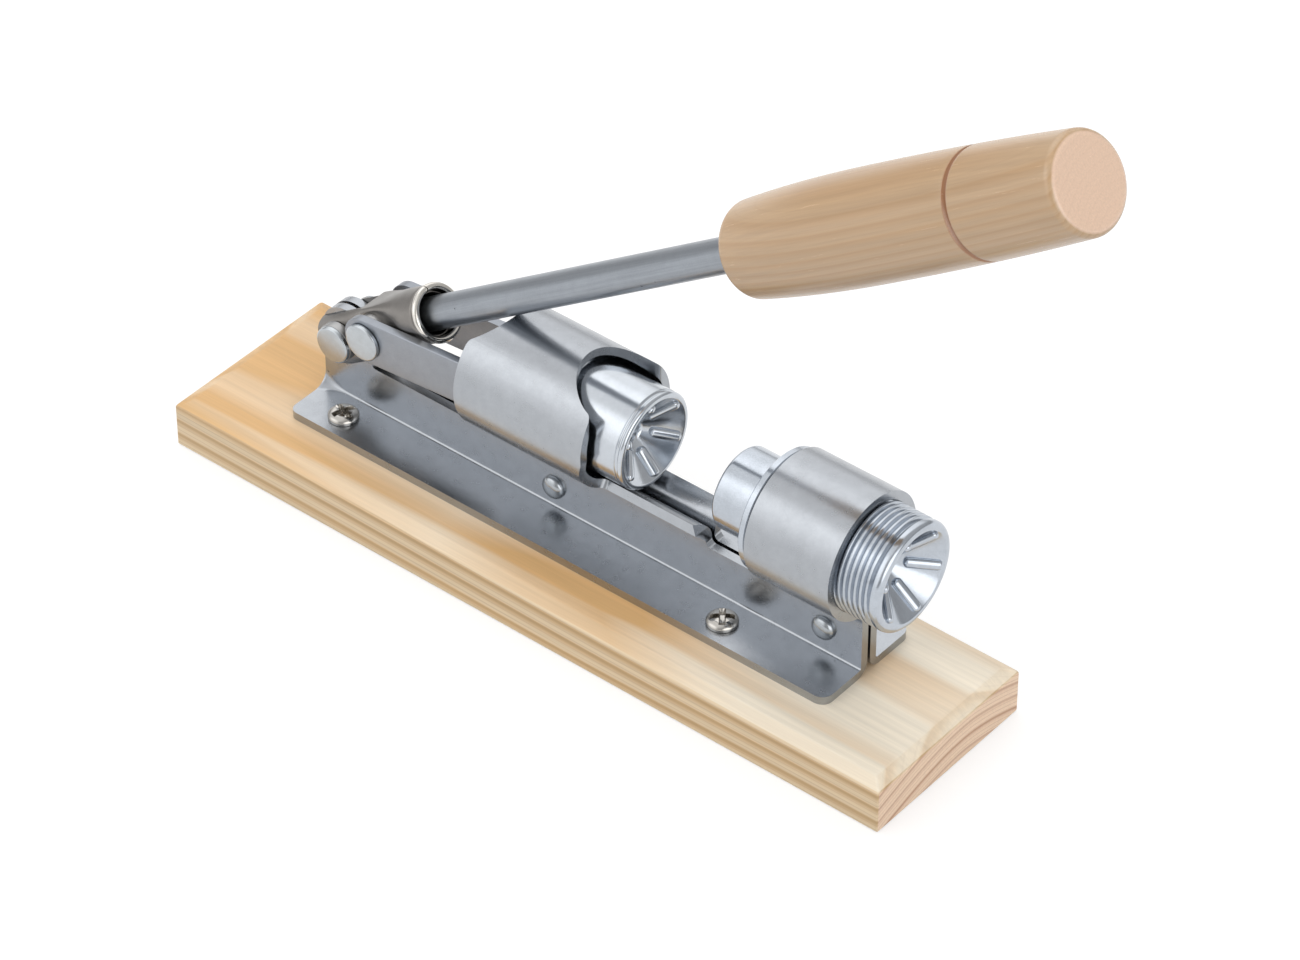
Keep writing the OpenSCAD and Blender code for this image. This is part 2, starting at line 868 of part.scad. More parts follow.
// The rolled sleeve that grips the bar and ends in a bead at the yoke's mouth
module socket_sleeve() {
  flare_t = sleeve_r - bar_r - fit_gap;
  color("white")
    on_lever()
      difference() {
        turned() {
          polygon([[bar_r + fit_gap, sleeve_in], [sleeve_r, sleeve_in], [sleeve_r, grip_end],
                   [mouth_r - 2 * seat_gap, yoke_l], [mouth_r, rim_x - bead_r], [mouth_r, rim_x],
                   [mouth_r - flare_t, rim_x], [bar_r + fit_gap, grip_end]]);
          translate([mouth_r, rim_x])
            circle(bead_r);
        }
        translate([sleeve_in - over, -seam_w / 2, 0])
          cube([rim_x + bead_r - sleeve_in + 2 * over, seam_w, rim_r + over]);
      }
}

module lever_bar() {
  color("slategray")
    on_lever()
      translate([bar_in, 0, 0])
        rotate([0, 90, 0])
          cylinder(r = bar_r, h = bar_out - bar_in);
}

// Radius of the handle at a share of its length
function handle_r(share) =
  share < belly_share
    ? handle_d / 2 - (handle_d - handle_inner_d) / 2 * pow((belly_share - share) / belly_share, belly_power)
    : handle_d / 2
      - (handle_d - handle_outer_d) / 2 * pow((share - belly_share) / (1 - belly_share), belly_power);

// One rounded edge of the handle's profile as radius and distance, in steps of a quarter turn
function edge_points(r, x, edge_r, deg_0) =
  [for (k = [0 : 6]) [r + edge_r * cos(deg_0 + 15 * k), x + edge_r * sin(deg_0 + 15 * k)]];

module handle() {
  stations = 40;
  inner_share = handle_inner_r / handle_l;
  outer_share = 1 - handle_outer_r / handle_l;
  side = [for (k = [1 : stations - 1])
            let (share = inner_share + (outer_share - inner_share) * k / stations)
              [handle_r(share), handle_start + handle_l * share]];
  groove_x = handle_start + handle_l - groove_inset;
  groove_r = handle_r(1 - groove_inset / handle_l);
  color("sienna")
    on_lever()
      turned()
        difference() {
          polygon(concat([[0, handle_start]],
                         edge_points(handle_r(inner_share) - handle_inner_r,
                                     handle_start + handle_inner_r, handle_inner_r, -90),
                         side,
                         edge_points(handle_r(outer_share) - handle_outer_r,
                                     handle_start + handle_l - handle_outer_r, handle_outer_r, 0),
                         [[0, handle_start + handle_l]]));
          polygon([[groove_r + groove_depth, groove_x - groove_w], [groove_r - groove_depth, groove_x],
                   [groove_r + groove_depth, groove_x + groove_w]]);
          translate([-over, handle_start - over])
            square([bar_r + fit_gap + over, bar_out - handle_start + over + fit_gap]);
        }
}

// A rivet through the lever, with a flat head of rounded edge on each side
module pivot_rivet(seat) {
  edge_r = pivot_head_t / 2;
  head_r = pivot_head_d / 2;
  color("gainsboro")
    for (side = [0, 1])
      mirror([0, side, 0])
        rotate([90, 0, 0]) {
          cylinder(r = pivot_r, h = seat + edge_r);
          translate([0, 0, seat])
            rotate_extrude() {
              square([head_r - edge_r, pivot_head_t]);
              square([head_r, edge_r]);
              translate([head_r - edge_r, edge_r])
                intersection() {
                  circle(edge_r);
                  square(edge_r);
                }
            }
        }
}

module lever_pivot_rivet() {
  translate([pivot_x, frame_offset, pivot_z])
    pivot_rivet(link_in);
}

module link_pivot_rivet() {
  translate([crank_x, frame_offset, crank_z])
    pivot_rivet(link_out + side_gap);
}

// A spacer washer, its inner face at the distance u from the frame's middle plane
module washer_at(x, z, side, u) {
  color("lightgray")
    translate([x, frame_offset + side * (u + washer_t / 2), z])
      rotate([90, 0, 0])
        difference() {
          cylinder(r = washer_d / 2, h = washer_t, center = true);
          cylinder(r = pivot_r + fit_gap, h = washer_t + over, center = true);
        }
}

module near_pivot_washer() {
  washer_at(pivot_x, pivot_z, -1, cheek_out + side_gap);
}

module far_pivot_washer() {
  washer_at(pivot_x, pivot_z, 1, cheek_out + side_gap);
}

module near_crank_washer() {
  washer_at(crank_x, crank_z, -1, cheek_out);
}

module far_crank_washer() {
  washer_at(crank_x, crank_z, 1, cheek_out);
}

module anvil_screw() {
  root_r = thread_r - thread_depth;
  boss_edge = boss_d / 2 - boss_cup_r;
  color("lightsteelblue")
    on_frame()
      translate([0, 0, tube_z])
        difference() {
          turned()
            difference() {
              union() {
                polygon([[0, boss_x], [boss_d / 2 - boss_edge / 2, boss_x],
                         [boss_d / 2, boss_x + boss_edge / 2], [boss_d / 2, collar_x - collar_t],
                         [collar_d / 2, collar_x - collar_t], [collar_d / 2, collar_x],
                         [thread_r, collar_x], [thread_r, end_x - end_rim_r],
                         [thread_r - end_rim_r, end_x], [0, end_x]]);
                translate([thread_r - end_rim_r, end_x - end_rim_r])
                  circle(end_rim_r);
              }
              for (k = [1 : thread_count])
                translate([thread_r, collar_x + k * thread_pitch])
                  polygon([[-thread_depth, 0], [over, -thread_pitch * (thread_depth + over) / thread_depth / 2],
                           [over, thread_pitch * (thread_depth + over) / thread_depth / 2]]);
            }
          translate([end_x, 0, 0])
            rotate([0, 90, 0])
              cup_hollow(end_cup_r, end_cup_depth, 90 + end_rib_deg);
          translate([boss_x, 0, 0])
            rotate([0, -90, 0])
              cup_hollow(boss_cup_r, boss_cup_depth, 90 + ram_rib_deg);
        }
}

base_board();
press_frame();
near_rear_screw();
near_front_screw();
far_rear_screw();
far_front_screw();
rear_web_rivet();
front_web_rivet();
anvil_screw();
ram();
ram_pin();
near_link();
far_link();
lever_yoke();
socket_sleeve();
lever_bar();
handle();
lever_pivot_rivet();
link_pivot_rivet();
near_pivot_washer();
far_pivot_washer();
near_crank_washer();
far_crank_washer();
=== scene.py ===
"""Lever nutcracker press on a pine board: finishes, softened edges and a studio to see it in.

The numbers of a shape are in millimetres until MM brings them to metres.
"""
import math

import bmesh
import bpy
from mathutils import Matrix, Vector


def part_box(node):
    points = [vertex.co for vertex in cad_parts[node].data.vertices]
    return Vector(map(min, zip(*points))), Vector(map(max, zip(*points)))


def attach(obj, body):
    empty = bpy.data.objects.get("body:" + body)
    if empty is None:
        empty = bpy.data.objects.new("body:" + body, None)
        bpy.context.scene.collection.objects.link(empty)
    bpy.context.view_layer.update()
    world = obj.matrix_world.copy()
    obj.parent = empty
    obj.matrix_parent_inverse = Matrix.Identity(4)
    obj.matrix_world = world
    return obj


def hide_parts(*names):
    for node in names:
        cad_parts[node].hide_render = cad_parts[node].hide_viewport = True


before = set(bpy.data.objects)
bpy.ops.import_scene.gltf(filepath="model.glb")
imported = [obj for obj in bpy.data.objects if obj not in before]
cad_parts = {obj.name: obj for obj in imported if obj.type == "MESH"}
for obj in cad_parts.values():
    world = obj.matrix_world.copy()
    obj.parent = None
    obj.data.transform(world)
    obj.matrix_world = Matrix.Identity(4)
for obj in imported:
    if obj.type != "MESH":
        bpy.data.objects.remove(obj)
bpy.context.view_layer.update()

MM = 0.001
BASE = "base_frame"

# The press stands a little to one side of the board's middle
MIDDLE_Y = 4.0
LEVER_SLOPE = math.radians(34.63)
LEVER_PIVOT = Vector((-98.6, MIDDLE_Y, 45.3)) * MM
CRANK_PIVOT = Vector((-82.966, MIDDLE_Y, 56.097)) * MM
TUBE_AXIS = Vector((0, MIDDLE_Y, 64.0)) * MM

# The outer faces of the frame's two webs, from its middle, and the top of its feet
WEB_FACE = 3.65
FOOT_TOP = 21.0

# Distances along the lever from its pivot
HANDLE_START = 195.0
HANDLE_LENGTH = 139.7
GROOVE_INSET = 40.6
GROOVE_X = HANDLE_START + HANDLE_LENGTH - GROOVE_INSET

# From a shape drawn along X from the lever's pivot to the lever's place
TO_LEVER = Matrix.Translation(LEVER_PIVOT) @ Matrix.Rotation(-LEVER_SLOPE, 4, "Y")
# Brings a point that is turned by the lever's slope to distances from the lever's pivot
LEVER_ORIGIN = -(Matrix.Rotation(LEVER_SLOPE, 4, "Y") @ LEVER_PIVOT)
# From a shape drawn along X to one along Y
ACROSS = Matrix.Rotation(math.radians(90), 4, "Z")

# Folds below this angle are shaded as one smooth face
SMOOTH_ANGLE = math.radians(38)
# What the frame model's copies are cleaned by
MERGE_DISTANCE = 2e-6
FLAT_ANGLE = math.radians(0.4)

CUP_HOLE_R = 3.4
CUP_HOLE_DEPTH = 3.0
# The direction of the first rib in each cup, in degrees
RAM_RIBS, BOSS_RIBS, END_RIBS = 64, 64, 72


# Wiring of materials

def new_material(name):
    material = bpy.data.materials.new(name)
    material.use_nodes = True
    tree = material.node_tree
    return material, tree, tree.nodes["Principled BSDF"]


def wire(tree, node, key, value):
    """Sets one input of a node, by name or number, from a value or a socket."""
    socket = node.inputs[key]
    if isinstance(value, bpy.types.NodeSocket):
        tree.links.new(value, socket)
    else:
        socket.default_value = value


def add(tree, kind, settings=None, **inputs):
    """Adds a node. Inputs are given by name, with spaces as underscores, as values or sockets."""
    node = tree.nodes.new(kind)
    for key, value in (settings or {}).items():
        setattr(node, key, value)
    for key, value in inputs.items():
        wire(tree, node, key.replace("_", " "), value)
    return node


def arithmetic(tree, operation, a, b=0.0):
    node = tree.nodes.new("ShaderNodeMath")
    node.operation = operation
    wire(tree, node, 0, a)
    wire(tree, node, 1, b)
    return node.outputs[0]


def blend_colours(tree, share, a, b, mode="MIX"):
    """Goes from a to b by a share. Each is a socket or a (red, green, blue) colour."""
    node = tree.nodes.new("ShaderNodeMix")
    node.data_type = "RGBA"
    node.blend_type = mode
    wire(tree, node, 0, share)
    for key, colour in ((6, a), (7, b)):
        wire(tree, node, key, (*colour, 1) if isinstance(colour, tuple) else colour)
    return node.outputs[2]


def multiplied(tree, colour, by):
    return blend_colours(tree, 1.0, colour, by, "MULTIPLY")


def ramp(tree, source, stops):
    """A colour ramp with the given (place, grey or colour) stops."""
    node = tree.nodes.new("ShaderNodeValToRGB")
    wire(tree, node, 0, source)
    band = node.color_ramp
    while len(band.elements) < len(stops):
        band.elements.new(0.5)
    for element, (place, colour) in zip(band.elements, stops):
        element.position = place
        element.color = (*colour, 1) if isinstance(colour, tuple) else (colour, colour, colour, 1)
    return node.outputs[0]


def object_point(tree, move=(0, 0, 0), turn=0.0):
    """Object coordinates, turned about Y and moved."""
    place = tree.nodes.new("ShaderNodeTexCoord")
    return add(tree, "ShaderNodeMapping", Vector=place.outputs["Object"], Location=move,
               Rotation=(0, turn, 0)).outputs[0]


def lengthened(tree, point, along):
    """A point with its X scaled down, so that a noise there runs long in X."""
    return add(tree, "ShaderNodeMapping", Vector=point, Scale=(along, 1, 1)).outputs[0]


def noise(tree, point, scale, detail, roughness):
    return add(tree, "ShaderNodeTexNoise", Vector=point, Scale=scale, Detail=detail,
               Roughness=roughness).outputs[0]


def spread(tree, source, low, high, start=0.0, end=1.0):
    """Maps start..end to low..high."""
    return add(tree, "ShaderNodeMapRange", Value=source, From_Min=start, From_Max=end,
               To_Min=low, To_Max=high).outputs[0]


# Finishes of metal

def pits_of(tree, point, share):
    """1 in the small ragged pits that a share of the cells hold, and 0 outside them."""
    cell_scale, largest, raggedness = 210.0, 0.085, 0.0012
    ragged = add(tree, "ShaderNodeTexNoise", Vector=point, Scale=1500.0, Detail=2.0)
    shifted = add(tree, "ShaderNodeVectorMath", {"operation": "MULTIPLY_ADD"})
    wire(tree, shifted, 0, ragged.outputs["Color"])
    wire(tree, shifted, 1, (raggedness, raggedness, raggedness))
    wire(tree, shifted, 2, point)
    cells = add(tree, "ShaderNodeTexVoronoi", {"feature": "F1"}, Vector=shifted.outputs[0],
                Scale=cell_scale)
    lot = add(tree, "ShaderNodeSeparateColor", Color=cells.outputs["Color"])
    rarely_large = arithmetic(tree, "POWER", lot.outputs["Green"], 3.0)
    size = arithmetic(tree, "MULTIPLY", rarely_large, largest)
    inside = arithmetic(tree, "LESS_THAN", cells.outputs["Distance"], size)
    chosen = arithmetic(tree, "LESS_THAN", lot.outputs["Red"], share)
    return arithmetic(tree, "MULTIPLY", inside, chosen)


def plated_metal(name, tint, roughness, mottle, patch=230, grain=0.05, wave=0.02, pits=0.0,
                 drawn=False):
    """Plated metal: cloudy patches, a fine grain, a faint waviness, rare dark pits and streaks.

    patch is the scale of the patches and mottle their depth, wave is the height of the waviness
    in millimetres, and drawn adds streaks along the lever.
    """
    material, tree, shader = new_material(name)
    point = object_point(tree)
    clouds = noise(tree, point, patch, 5, 0.62)
    broad = noise(tree, point, patch / 7, 2, 0.5)
    fine = noise(tree, point, 2600, 3, 0.7)
    dark = tuple(c * (1 - mottle) for c in tint)
    light = tuple(min(1, c * (1 + mottle)) for c in tint)
    colour = ramp(tree, clouds, [(0.34, dark), (0.66, light)])
    colour = multiplied(tree, colour, ramp(tree, broad, [(0.35, 1 - mottle), (0.65, 1.0)]))
    colour = multiplied(tree, colour, ramp(tree, fine, [(0.3, 1 - 2 * grain), (0.7, 1.0)]))
    height = clouds
    if drawn:
        lengthwise = lengthened(tree, object_point(tree, LEVER_ORIGIN, LEVER_SLOPE), 0.02)
        streaks = noise(tree, lengthwise, 1100, 4, 0.65)
        colour = multiplied(tree, colour, ramp(tree, streaks, [(0.3, 0.86), (0.7, 1.06)]))
        height = arithmetic(tree, "ADD", arithmetic(tree, "MULTIPLY", clouds, 0.4), streaks)
    if pits:
        colour = blend_colours(tree, pits_of(tree, point, pits), colour,
                               tuple(c * 0.3 for c in tint))
    wire(tree, shader, "Base Color", colour)
    shader.inputs["Metallic"].default_value = 1.0
    wire(tree, shader, "Roughness",
         spread(tree, clouds, roughness * 1.08, roughness * 0.93, 0.3, 0.7))
    swell = add(tree, "ShaderNodeBump", Strength=1.0, Distance=wave * MM, Height=height).outputs[0]
    bump = add(tree, "ShaderNodeBump", Strength=0.4, Distance=0.006 * MM, Height=fine,
               Normal=swell)
    wire(tree, shader, "Normal", bump.outputs[0])
    return material


frame_plate = plated_metal("frame_plate", (0.415, 0.435, 0.463), 0.26, 0.035, grain=0.03,
                           wave=0.022, pits=0.35)
ram_plate = plated_metal("ram_plate", (0.59, 0.625, 0.67), 0.18, 0.04, patch=150, wave=0.03)
anvil_plate = plated_metal("anvil_plate", (0.53, 0.57, 0.625), 0.17, 0.05, patch=170, grain=0.07,
                           wave=0.03)
link_plate = plated_metal("link_plate", (0.325, 0.345, 0.38), 0.33, 0.03, pits=0.3)
yoke_plate = plated_metal("yoke_plate", (0.27, 0.255, 0.24), 0.33, 0.05, pits=0.2)
sleeve_plate = plated_metal("sleeve_plate", (0.74, 0.71, 0.66), 0.10, 0.03)
bar_plate = plated_metal("bar_plate", (0.345, 0.37, 0.405), 0.31, 0.03, pits=0.5, drawn=True)
rivet_plate = plated_metal("rivet_plate", (0.50, 0.53, 0.555), 0.25, 0.05, patch=260, grain=0.03)
web_rivet_plate = plated_metal("web_rivet_plate", (0.42, 0.445, 0.47), 0.22, 0.03)
washer_plate = plated_metal("washer_plate", (0.42, 0.42, 0.42), 0.33, 0.05)
pin_steel = plated_metal("pin_steel", (0.46, 0.47, 0.49), 0.28, 0.05)
screw_nickel = plated_metal("screw_nickel", (0.50, 0.48, 0.45), 0.13, 0.02, grain=0.02, wave=0.0)


# Finishes of wood

# Through one ring, outwards: the share of the warm tone, of the late wood and of a thin line
WARM_IN_RING = [(0.0, 0.10), (0.30, 0.0), (0.70, 0.85), (0.86, 1.0), (1.0, 0.10)]
LATE_IN_RING = [(0.0, 0.0), (0.40, 0.04), (0.64, 0.28), (0.76, 0.95), (0.86, 0.75), (0.92, 0.0)]
THIN_IN_RING = [(0.62, 0.0), (0.82, 0.50), (0.92, 0.0)]
THIN_LINES_PER_RING = 3.3

# Share of orange in the board's top from its rear end to its front end: partly the wood's own
# patches, and partly a painted highlight, strongest at the front end where it drops to pale
BOARD_ORANGE_AND_HIGHLIGHT = [(0.0, 0.88), (0.16, 0.76), (0.34, 0.48), (0.50, 0.86), (0.66, 1.0), (0.80, 0.36),
               (0.92, 0.0)]
BOARD_REACH = 142.5 * MM

GROOVE_BROWN = (0.38, 0.17, 0.065)
GROOVE_REACH = 1.6 * MM


def pine(name, ring_centre, spacing, early, warm, late, warp, ends, gloss, polish, contrast=1.0,
         turn=0.0, move=(0, 0, 0), top=None, groove=None):
    """Softwood sawn from a log along X: rings about ring_centre that waver along the grain.

    ends are the early and late colours of the sawn ends, made paler than the wood to paint the
    light that falls on them; top is the pale and the orange colour of a flat upper side, mixed by
    an orange share along X, where the pale colour paints a highlight; and groove is the place of a
    dark ring.
    """
    material, tree, shader = new_material(name)

    def calc(operation, a, b=0.0):
        return arithmetic(tree, operation, a, b)

    local = object_point(tree, move, turn)
    parts = add(tree, "ShaderNodeSeparateXYZ", Vector=local)
    place = tree.nodes.new("ShaderNodeTexCoord")
    facing = add(tree, "ShaderNodeSeparateXYZ", Vector=add(
        tree, "ShaderNodeMapping", {"vector_type": "NORMAL"}, Vector=place.outputs["Normal"],
        Rotation=(0, turn, 0)).outputs[0])

    waver = noise(tree, lengthened(tree, local, 0.16), 26, 2, 0.5)
    wide = noise(tree, lengthened(tree, local, 0.35), 9, 1, 0.4)
    across = calc("SUBTRACT", parts.outputs["Y"], ring_centre[0])
    rise = calc("SUBTRACT", parts.outputs["Z"], ring_centre[1])
    squares = calc("ADD", calc("MULTIPLY", across, across), calc("MULTIPLY", rise, rise))
    radius = calc("ADD", calc("SQRT", squares), calc("MULTIPLY", waver, warp))
    radius = calc("ADD", radius, calc("MULTIPLY", wide, 3 * warp))
    turns = calc("DIVIDE", radius, spacing)
    ring = calc("FRACT", turns)
    strength = add(tree, "ShaderNodeTexWhiteNoise", {"noise_dimensions": "1D"},
                   W=calc("FLOOR", turns)).outputs[0]
    soft = ramp(tree, ring, WARM_IN_RING)
    band = calc("MULTIPLY", ramp(tree, ring, LATE_IN_RING),
                spread(tree, strength, 0.6 * contrast, contrast))
    thin = ramp(tree, calc("FRACT", calc("MULTIPLY", turns, THIN_LINES_PER_RING)),
                [(at, share * contrast) for at, share in THIN_IN_RING])
    band = calc("MAXIMUM", band, thin)
    warmth = calc("MULTIPLY", soft, spread(tree, wide, 0.35, 1.0, 0.3, 0.7))
    colour = blend_colours(tree, band, blend_colours(tree, warmth, early, warm), late)

    # The top: the wood's orange patches, and a painted highlight where the orange share drops and
    # the pale colour takes over towards the front end
    if top:
        figure_and_painted_highlight = calc("MULTIPLY", calc("SUBTRACT", soft, 0.4), spread(tree, strength, 0.35, 0.85))
        along = spread(tree, parts.outputs["X"], 0.0, 1.0, -BOARD_REACH, BOARD_REACH)
        shaken = calc("ADD", along, spread(tree, waver, -0.12, 0.12, 0.3, 0.7))
        figure_and_painted_highlight = spread(tree, calc("ADD", figure_and_painted_highlight, ramp(tree, shaken, BOARD_ORANGE_AND_HIGHLIGHT)), 0.0, 1.0)
        upward = ramp(tree, facing.outputs["Z"], [(0.70, 0.0), (0.97, 1.0)])
        colour = blend_colours(tree, upward, colour, blend_colours(tree, figure_and_painted_highlight, *top))

    fibre = noise(tree, lengthened(tree, local, 0.03), 1300, 3, 0.6)
    streak = noise(tree, lengthened(tree, local, 0.02), 420, 2, 0.5)
    colour = multiplied(tree, colour, ramp(tree, fibre, [(0.25, 0.93), (0.75, 1.03)]))
    colour = multiplied(tree, colour, ramp(tree, streak, [(0.30, 0.93), (0.70, 1.04)]))

    # Faces that look along X take the end colours: real end-grain rings, painted paler than the
    # wood to stand for the light falling on those faces
    lengthways = ramp(tree, calc("ABSOLUTE", facing.outputs["X"]), [(0.80, 0.0), (0.95, 1.0)])
    speckle = ramp(tree, noise(tree, local, 1500, 3, 0.7), [(0.3, 0.92), (0.7, 1.05)])
    sawn = multiplied(tree, blend_colours(tree, band, *ends), speckle)
    colour = blend_colours(tree, lengthways, colour, sawn)

    if groove:
        away = calc("ABSOLUTE", calc("SUBTRACT", parts.outputs["X"], groove))
        near = spread(tree, away, 0.0, 1.0, 0.0, GROOVE_REACH)
        colour = blend_colours(tree, ramp(tree, near, [(0.50, 1.0), (0.80, 0.0)]), colour,
                               GROOVE_BROWN)

    wire(tree, shader, "Base Color", colour)
    wire(tree, shader, "Roughness", spread(tree, fibre, gloss - 0.06, gloss + 0.06))
    shader.inputs["Specular IOR Level"].default_value = polish
    bump = add(tree, "ShaderNodeBump", Strength=0.3, Distance=0.03 * MM, Height=fibre)
    wire(tree, shader, "Normal", bump.outputs[0])
    return material


board_pine = pine("board_pine", (0.002, -0.087), 0.0050, early=(0.83, 0.66, 0.45),
                  warm=(0.70, 0.45, 0.205), late=(0.52, 0.34, 0.18), warp=0.0026,
                  # The end colours, paler than the wood, paint the light on the board's sawn ends
                  ends=((0.98, 0.74, 0.545), (0.52, 0.265, 0.15)), gloss=0.50, polish=0.45,
                  # The pale top colour paints a highlight on the board's top
                  top=((0.96, 0.86, 0.70), (0.76, 0.465, 0.205)))
handle_pine = pine("handle_pine", (0.006, -0.028), 0.0024, early=(0.555, 0.37, 0.21),
                   warm=(0.53, 0.325, 0.16), late=(0.45, 0.27, 0.13), warp=0.0010,
                   # The end colours, paler than the wood, paint the light on the handle's ends
                   ends=((0.88, 0.625, 0.46), (0.81, 0.55, 0.39)), gloss=0.25, polish=1.0,
                   contrast=0.33, turn=LEVER_SLOPE, move=LEVER_ORIGIN, groove=GROOVE_X * MM)


# Making and placing of pieces

def finish_piece(shape, name, material, body, nodes, weighted=True):
    """Turns a shape into a piece that rides on a body and stands for CAD nodes."""
    mesh = bpy.data.meshes.new(name + "_mesh")
    shape.to_mesh(mesh)
    shape.free()
    mesh.materials.append(material)
    mesh.shade_smooth()
    mesh.set_sharp_from_angle(angle=SMOOTH_ANGLE)
    piece = bpy.data.objects.new(name, mesh)
    bpy.context.scene.collection.objects.link(piece)
    if weighted:
        even = piece.modifiers.new("even_shading", "WEIGHTED_NORMAL")
        even.keep_sharp = True
        even.weight = 80
    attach(piece, body)
    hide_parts(*nodes)


def box_in_mm(node):
    """The low and the high corner of a CAD node."""
    return [Vector(corner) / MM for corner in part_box(node)]


def put(shape, matrix):
    bmesh.ops.transform(shape, matrix=matrix, verts=shape.verts)


def cleaned_copy(node):
    """The shape of a CAD node with its doubles merged and its flat faces made whole."""
    shape = bmesh.new()
    shape.from_mesh(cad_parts[node].data)
    bmesh.ops.remove_doubles(shape, verts=shape.verts, dist=MERGE_DISTANCE)
    bmesh.ops.dissolve_limit(shape, angle_limit=FLAT_ANGLE, verts=shape.verts,
                             edges=shape.edges)
    return shape


def cut_across(shape, x, keep_rear=False):
    """Cuts edges into a shape where it crosses x, or takes away and closes all beyond it."""
    bmesh.ops.bisect_plane(shape, geom=shape.verts[:] + shape.edges[:] + shape.faces[:],
                           dist=1e-6, plane_co=(x * MM, 0, 0), plane_no=(1, 0, 0),
                           clear_outer=keep_rear)
    if keep_rear:
        bmesh.ops.holes_fill(shape, edges=[e for e in shape.edges if e.is_boundary], sides=0)


def round_edges(shape, width, segments=2, degrees=30):
    """Rounds the edges that are sharper than an angle."""
    sharp = [e for e in shape.edges
             if e.is_manifold and e.calc_face_angle(0) > math.radians(degrees)]
    bmesh.ops.bevel(shape, geom=sharp, offset=width * MM, offset_type="OFFSET", affect="EDGES",
                    segments=segments, profile=0.5, material=-1, clamp_overlap=True)


def split_large_faces(shape):
    bmesh.ops.triangulate(shape, faces=[f for f in shape.faces if len(f.verts) > 4])


def join_shapes(shape, *others):
    """Adds other shapes to a shape and frees them."""
    for other in others:
        mesh = bpy.data.meshes.new("joined")
        other.to_mesh(mesh)
        other.free()
        shape.from_mesh(mesh)
        bpy.data.meshes.remove(mesh)


def softened(node, material, body, width):
    """A cleaned copy of a CAD node with its sharp edges rounded, standing for that node."""
    shape = cleaned_copy(node)
    if width:
        round_edges(shape, width)
    split_large_faces(shape)
    finish_piece(shape, node + "_piece", material, body, [node])


def clamped(share):
    return max(0.0, min(1.0, share))


def eased(share):
    """A share that starts and ends gently."""
    share = clamped(share)
    return share * share * (3 - 2 * share)


# Lines to spin, as (distance, radius) points

def quarter_turn(steps):
    return [math.radians(90 * k / steps) for k in range(steps + 1)]


def rear_corner(x, r, size, steps=6):
    """Rounds the corner at x and r, from a face that looks back along X into the side."""
    return [(x + size - size * math.cos(a), r - size + size * math.sin(a))
            for a in quarter_turn(steps)]


def front_corner(x, r, size, steps=6):
    """Rounds the corner at x and r, from the side into a face that looks along X."""
    return [(x - size + size * math.sin(a), r - size + size * math.cos(a))
            for a in quarter_turn(steps)]


def both_sides(side):
    """A line from its mirror image at -X to itself."""
    return [(-x, r) for x, r in reversed(side)] + side


def spun(profile, steps):
    """A solid spun about X from a line."""
    shape = bmesh.new()
    line = [shape.verts.new((x * MM, 0, r * MM)) for x, r in profile]
    edges = [shape.edges.new(pair) for pair in zip(line, line[1:])]
    bmesh.ops.spin(shape, geom=line + edges, cent=(0, 0, 0), axis=(1, 0, 0), dvec=(0, 0, 0),
                   angle=math.tau, steps=steps, use_merge=True)
    bmesh.ops.remove_doubles(shape, verts=shape.verts, dist=1e-6)
    bmesh.ops.recalc_face_normals(shape, faces=shape.faces)
    return shape


# The wooden pieces and the bar

def pine_board():
    """The board: a block with a planed bevel round its top, all its edges a little broken."""
    low, high = (Vector(corner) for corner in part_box("base_board"))
    bevel_w, bevel_h = 4.4 * MM, 2.1 * MM
    size, middle = high - low, (high + low) / 2
    shape = bmesh.new()
    bmesh.ops.create_cube(shape, size=1.0)
    bmesh.ops.scale(shape, vec=(size.x, size.y, size.z - bevel_h), verts=shape.verts)
    bmesh.ops.translate(shape, vec=(middle.x, middle.y, (size.z - bevel_h) / 2 + low.z),
                        verts=shape.verts)
    top = max(shape.faces, key=lambda f: f.calc_center_median().z)
    grown = bmesh.ops.extrude_face_region(shape, geom=[top])["geom"]
    risen = [v for v in grown if isinstance(v, bmesh.types.BMVert)]
    bmesh.ops.translate(shape, vec=(0, 0, bevel_h), verts=risen)
    bmesh.ops.scale(shape, verts=risen, space=Matrix.Translation((-middle.x, -middle.y, 0)),
                    vec=((size.x - 2 * bevel_w) / size.x, (size.y - 2 * bevel_w) / size.y, 1))
    if top.is_valid:
        bmesh.ops.delete(shape, geom=[top], context="FACES_ONLY")
    round_edges(shape, 0.6, 3, degrees=15)
    finish_piece(shape, "pine_board", board_pine, BASE, ["base_board"])


def handle_radius(share):
    """Radius of the handle in millimetres at a share of its length."""
    full, inner, outer, belly, power = 17.03, 14.68, 15.18, 0.4, 2.2
    if share < belly:
        return full - (full - inner) * ((belly - share) / belly) ** power
    return full - (full - outer) * ((share - belly) / (1 - belly)) ** power


